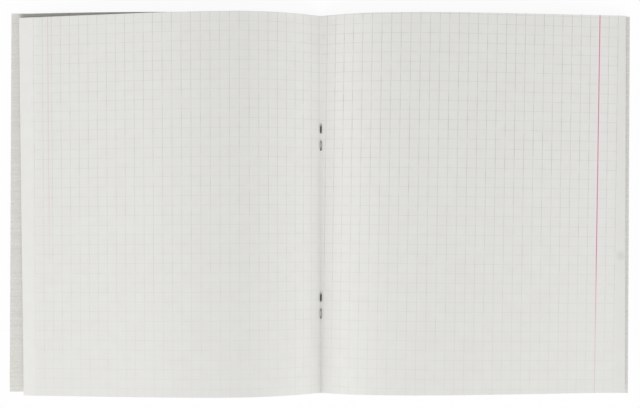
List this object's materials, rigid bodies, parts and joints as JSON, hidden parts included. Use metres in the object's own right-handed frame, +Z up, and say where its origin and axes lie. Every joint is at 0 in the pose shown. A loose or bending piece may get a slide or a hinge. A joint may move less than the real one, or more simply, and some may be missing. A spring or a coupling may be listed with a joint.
{
  "type": "stapled exercise book",
  "caption": "Stapled exercise book lying open at its centre spread, squared leaves arching up from the fold; its card covers and its leaves swing up about the fold to close it.",
  "frame": {"origin": "on the table the open book lies on, under the middle of the fold", "axes": "+X to the right across the spread, +Y up the page along the fold, +Z up from the table"},
  "size_m": [0.33, 0.2028, 0.0202],
  "materials": {
    "paper": "matte",
    "cover_card": "matte",
    "staple_wire": "satin"
  },
  "bodies": {
    "spine": {"cover_spine": "cover_card", "upper_staple": "staple_wire", "lower_staple": "staple_wire", "sheet_1_fold": "paper", "sheet_2_fold": "paper", "sheet_3_fold": "paper", "sheet_4_fold": "paper", "sheet_5_fold": "paper", "sheet_6_fold": "paper"},
    "front_cover": {"front_cover": "cover_card"},
    "left_leaf_1": {"sheet_1_left_leaf": "paper"},
    "left_leaf_2": {"sheet_2_left_leaf": "paper"},
    "left_leaf_3": {"sheet_3_left_leaf": "paper"},
    "left_leaf_4": {"sheet_4_left_leaf": "paper"},
    "left_leaf_5": {"sheet_5_left_leaf": "paper"},
    "left_leaf_6": {"sheet_6_left_leaf": "paper"},
    "back_cover": {"back_cover": "cover_card"},
    "right_leaf_1": {"sheet_1_right_leaf": "paper"},
    "right_leaf_2": {"sheet_2_right_leaf": "paper"},
    "right_leaf_3": {"sheet_3_right_leaf": "paper"},
    "right_leaf_4": {"sheet_4_right_leaf": "paper"},
    "right_leaf_5": {"sheet_5_right_leaf": "paper"},
    "right_leaf_6": {"sheet_6_right_leaf": "paper"}
  },
  "joints": [
    {"name": "front_cover_turn", "type": "hinge", "parent": "spine", "child": "front_cover", "pos_m": [-0.0018, 0, 0.00085], "axis": [0, 1, 0], "range_deg": [0, 90], "deforming": ["front_cover"]},
    {"name": "left_leaf_1_turn", "type": "hinge", "parent": "spine", "child": "left_leaf_1", "pos_m": [-0.00066, 0, 0.00247], "axis": [0, 1, 0], "range_deg": [0, 90], "deforming": ["sheet_1_left_leaf"]},
    {"name": "left_leaf_2_turn", "type": "hinge", "parent": "spine", "child": "left_leaf_2", "pos_m": [-0.00079, 0, 0.00236], "axis": [0, 1, 0], "range_deg": [0, 90], "deforming": ["sheet_2_left_leaf"]},
    {"name": "left_leaf_3_turn", "type": "hinge", "parent": "spine", "child": "left_leaf_3", "pos_m": [-0.00092, 0, 0.00226], "axis": [0, 1, 0], "range_deg": [0, 90], "deforming": ["sheet_3_left_leaf"]},
    {"name": "left_leaf_4_turn", "type": "hinge", "parent": "spine", "child": "left_leaf_4", "pos_m": [-0.00105, 0, 0.00215], "axis": [0, 1, 0], "range_deg": [0, 90], "deforming": ["sheet_4_left_leaf"]},
    {"name": "left_leaf_5_turn", "type": "hinge", "parent": "spine", "child": "left_leaf_5", "pos_m": [-0.00118, 0, 0.00204], "axis": [0, 1, 0], "range_deg": [0, 90], "deforming": ["sheet_5_left_leaf"]},
    {"name": "left_leaf_6_turn", "type": "hinge", "parent": "spine", "child": "left_leaf_6", "pos_m": [-0.00131, 0, 0.00193], "axis": [0, 1, 0], "range_deg": [0, 90], "deforming": ["sheet_6_left_leaf"]},
    {"name": "back_cover_turn", "type": "hinge", "parent": "spine", "child": "back_cover", "pos_m": [0.0018, 0, 0.00085], "axis": [0, -1, 0], "range_deg": [0, 90], "deforming": ["back_cover"]},
    {"name": "right_leaf_1_turn", "type": "hinge", "parent": "spine", "child": "right_leaf_1", "pos_m": [0.00071, 0, 0.0024], "axis": [0, -1, 0], "range_deg": [0, 90], "deforming": ["sheet_1_right_leaf"]},
    {"name": "right_leaf_2_turn", "type": "hinge", "parent": "spine", "child": "right_leaf_2", "pos_m": [0.00085, 0, 0.00228], "axis": [0, -1, 0], "range_deg": [0, 90], "deforming": ["sheet_2_right_leaf"]},
    {"name": "right_leaf_3_turn", "type": "hinge", "parent": "spine", "child": "right_leaf_3", "pos_m": [0.00099, 0, 0.00216], "axis": [0, -1, 0], "range_deg": [0, 90], "deforming": ["sheet_3_right_leaf"]},
    {"name": "right_leaf_4_turn", "type": "hinge", "parent": "spine", "child": "right_leaf_4", "pos_m": [0.00113, 0, 0.00203], "axis": [0, -1, 0], "range_deg": [0, 90], "deforming": ["sheet_4_right_leaf"]},
    {"name": "right_leaf_5_turn", "type": "hinge", "parent": "spine", "child": "right_leaf_5", "pos_m": [0.00127, 0, 0.00191], "axis": [0, -1, 0], "range_deg": [0, 90], "deforming": ["sheet_5_right_leaf"]},
    {"name": "right_leaf_6_turn", "type": "hinge", "parent": "spine", "child": "right_leaf_6", "pos_m": [0.00141, 0, 0.00179], "axis": [0, -1, 0], "range_deg": [0, 90], "deforming": ["sheet_6_right_leaf"]}
  ],
  "couplings": [
    {"joint": "left_leaf_1_turn", "follows": "front_cover_turn", "ratio": 1},
    {"joint": "left_leaf_2_turn", "follows": "front_cover_turn", "ratio": 1},
    {"joint": "left_leaf_3_turn", "follows": "front_cover_turn", "ratio": 1},
    {"joint": "left_leaf_4_turn", "follows": "front_cover_turn", "ratio": 1},
    {"joint": "left_leaf_5_turn", "follows": "front_cover_turn", "ratio": 1},
    {"joint": "left_leaf_6_turn", "follows": "front_cover_turn", "ratio": 1},
    {"joint": "right_leaf_1_turn", "follows": "back_cover_turn", "ratio": 1},
    {"joint": "right_leaf_2_turn", "follows": "back_cover_turn", "ratio": 1},
    {"joint": "right_leaf_3_turn", "follows": "back_cover_turn", "ratio": 1},
    {"joint": "right_leaf_4_turn", "follows": "back_cover_turn", "ratio": 1},
    {"joint": "right_leaf_5_turn", "follows": "back_cover_turn", "ratio": 1},
    {"joint": "right_leaf_6_turn", "follows": "back_cover_turn", "ratio": 1}
  ]
}
